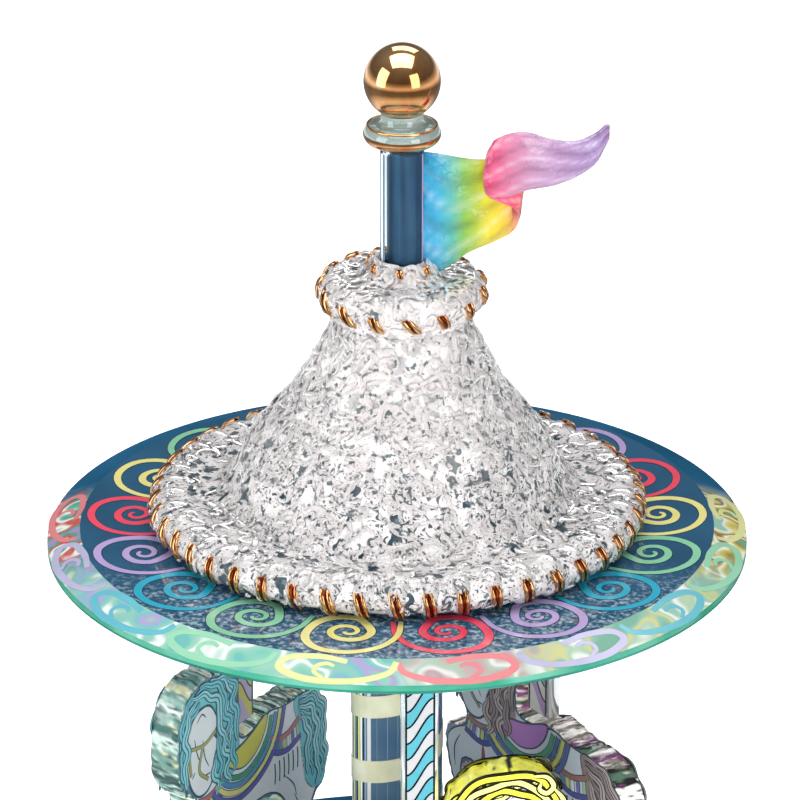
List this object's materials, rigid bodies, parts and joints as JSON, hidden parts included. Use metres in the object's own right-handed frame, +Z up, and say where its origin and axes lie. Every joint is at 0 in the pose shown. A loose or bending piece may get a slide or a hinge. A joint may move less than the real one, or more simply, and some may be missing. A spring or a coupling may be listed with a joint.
{
  "type": "wind-up carousel figurine",
  "caption": "Wind-up glass carousel: spun-glass canopy with a ball finial and pennant, bevelled discs, a column and flat horses, turned by clockwork in a round tinplate base.",
  "frame": {"origin": "centre of the base on the plane that the feet stand on", "axes": "+Z up along the turning axis; the pennant points along +X, and -Y is the front"},
  "size_m": [0.1524, 0.1524, 0.2641],
  "materials": {
    "spun_glass": "clear, lamp-worked",
    "copper_gold": "mirror-bright fired gold",
    "rod_glass": "clear drawn rod",
    "rainbow_glass": "coloured, fire-polished",
    "printed_disc": "bevelled, printed scrolls",
    "floor_glass": "bevelled, mirror-backed",
    "column_glass": "clear with cream spiral bands",
    "horse_glass": "cut edges, printed face",
    "pole_glass": "clear strip, printed stripes",
    "lacquer": "gloss lacquered tinplate",
    "rubber_foot": "matt",
    "brass_part": "machined",
    "steel_part": "polished",
    "blued_steel": "blued spring",
    "aluminium_hub": "turned"
  },
  "bodies": {
    "base": {"base_housing": "lacquer", "bottom_pan": "lacquer", "foot_1": "rubber_foot", "foot_2": "rubber_foot", "foot_3": "rubber_foot", "spindle_bush": "brass_part", "movement_lower_plate": "brass_part", "movement_upper_plate": "brass_part", "pillar_1": "brass_part", "pillar_2": "brass_part", "pillar_3": "brass_part", "frame_screw_1": "steel_part", "frame_screw_2": "steel_part", "frame_screw_3": "steel_part", "click_stud": "steel_part", "click_spring": "steel_part"},
    "carousel": {"roof_disc": "printed_disc", "canopy_pole": "rod_glass", "canopy_cone": "spun_glass", "canopy_brim_ring": "spun_glass", "canopy_top_ring": "spun_glass", "finial_collar": "spun_glass", "finial_ball": "copper_gold", "pennant_flag": "rainbow_glass", "floor_disc": "floor_glass", "centre_column": "column_glass", "horse_front": "horse_glass", "horse_right": "horse_glass", "horse_left": "horse_glass", "pole_front_upper": "pole_glass", "pole_front_lower": "pole_glass", "pole_right_upper": "pole_glass", "pole_right_lower": "pole_glass", "pole_left_upper": "pole_glass", "pole_left_lower": "pole_glass", "turntable_hub": "aluminium_hub", "output_spindle": "steel_part", "spindle_pinion": "steel_part", "spindle_wheel": "brass_part"},
    "barrel": {"great_wheel": "brass_part", "spring_barrel": "brass_part", "barrel_cover": "brass_part", "mainspring": "blued_steel"},
    "key": {"winding_key": "brass_part", "winding_arbor": "steel_part", "ratchet_wheel": "steel_part"},
    "click": {"click_pawl": "steel_part"},
    "second_wheel_set": {"second_arbor": "steel_part", "second_pinion": "steel_part", "second_wheel": "brass_part"},
    "governor": {"fly_arbor": "steel_part", "fly_pinion": "steel_part", "fly_vane": "brass_part"}
  },
  "joints": [
    {"name": "carousel_spin", "type": "hinge", "parent": "base", "child": "carousel", "pos_m": [0, 0, 0.0426], "axis": [0, 0, 1], "continuous": true},
    {"name": "barrel_turn", "type": "hinge", "parent": "base", "child": "barrel", "pos_m": [-0.0224, 0, 0.025], "axis": [0, 0, 1], "continuous": true},
    {"name": "second_turn", "type": "hinge", "parent": "base", "child": "second_wheel_set", "pos_m": [0.015, 0, 0.025], "axis": [0, 0, 1], "continuous": true},
    {"name": "governor_turn", "type": "hinge", "parent": "base", "child": "governor", "pos_m": [0.02063, 0.00974, 0.025], "axis": [0, 0, 1], "continuous": true},
    {"name": "key_wind", "type": "hinge", "parent": "base", "child": "key", "pos_m": [-0.0224, 0, 0.012], "axis": [0, 0, 1], "continuous": true},
    {"name": "click_lift", "type": "hinge", "parent": "base", "child": "click", "pos_m": [-0.0114, 0.0135, 0.0358], "axis": [0, 0, 1], "range_deg": [-12, 0], "stiffness_Nm_per_rad": 0.004}
  ],
  "couplings": [
    {"joint": "barrel_turn", "follows": "carousel_spin", "ratio": -0.33333},
    {"joint": "second_turn", "follows": "carousel_spin", "ratio": -4},
    {"joint": "governor_turn", "follows": "carousel_spin", "ratio": 16}
  ]
}
